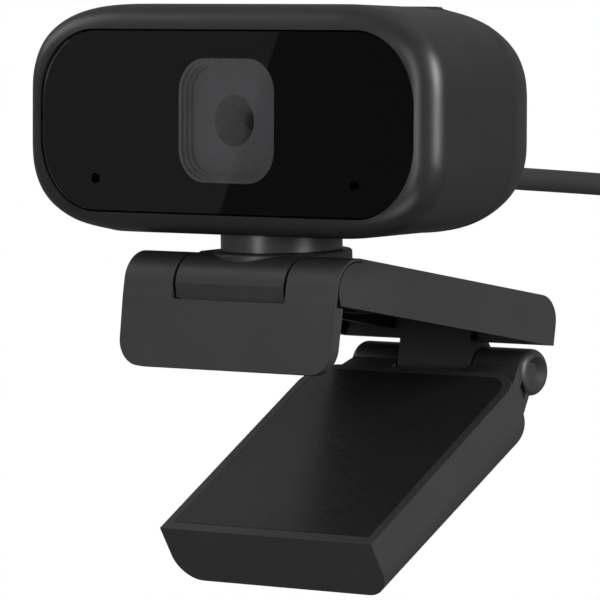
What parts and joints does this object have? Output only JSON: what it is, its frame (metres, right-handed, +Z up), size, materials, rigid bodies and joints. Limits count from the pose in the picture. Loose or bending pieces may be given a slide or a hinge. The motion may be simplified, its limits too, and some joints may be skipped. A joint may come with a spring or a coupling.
{
  "type": "clip-on webcam",
  "caption": "Wide oval webcam with a square lens surround, on a swivelling neck over a folding clip that grips a screen's top edge.",
  "frame": {"origin": "middle of the rest rib's lower face, where the clip lies on the screen's top edge", "axes": "+X to the right as seen from in front of the lens, +Y back, away from the person filmed, +Z up with the head level"},
  "size_m": [0.097, 0.2182, 0.1685],
  "materials": {
    "satin_black": "fine satin grain",
    "gloss_black": "polished",
    "cover_glass": "polished clear pane",
    "lens_glass": "coated",
    "sensor_black": "smooth",
    "board_green": "solder mask",
    "cream_plastic": "moulded",
    "steel": "plated",
    "soft_black": "matte",
    "aluminium": "satin",
    "cord_black": "matte jacket"
  },
  "bodies": {
    "clip": {"arm_shell": "satin_black", "rest_pad": "soft_black", "lip_pins": "steel", "leg_pin": "steel"},
    "head": {"front_bezel": "satin_black", "front_glass": "cover_glass", "mask_film": "gloss_black", "lens_surround": "satin_black", "lens_barrel": "satin_black", "lens_front_element": "lens_glass", "lens_holder": "satin_black", "ir_filter": "lens_glass", "image_sensor": "sensor_black", "main_board": "board_green", "cord_socket": "cream_plastic", "board_screws": "steel", "case_screws": "steel", "mic_boots": "soft_black", "mic_capsules": "aluminium", "rear_housing": "satin_black", "strain_relief": "soft_black", "neck_post": "satin_black", "neck_screws": "steel", "swivel_washer": "steel", "swivel_screw": "steel", "cord_lead": "cord_black", "cord_coil": "cord_black", "cord_tie": "soft_black", "cord_tail": "cord_black", "plug_boot": "soft_black", "plug_body": "satin_black", "plug_shell": "aluminium", "plug_tongue": "cream_plastic"},
    "lip": {"lip_cover": "satin_black", "lip_back": "satin_black", "lip_pad": "soft_black"},
    "leg": {"leg_shell": "satin_black", "leg_pad": "gloss_black"}
  },
  "joints": [
    {"name": "head_swivel", "type": "hinge", "parent": "clip", "child": "head", "pos_m": [0, 0.00631, 0.01066], "axis": [0, -0.0401, 0.9992], "range_deg": [-180, 180]},
    {"name": "lip_fold", "type": "hinge", "parent": "clip", "child": "lip", "pos_m": [0, -0.0029, 0.0041], "axis": [1, 0, 0], "range_deg": [0, 84]},
    {"name": "leg_fold", "type": "hinge", "parent": "clip", "child": "leg", "pos_m": [0, 0.05672, -0.01353], "axis": [1, 0, 0], "range_deg": [-35, 100]}
  ]
}
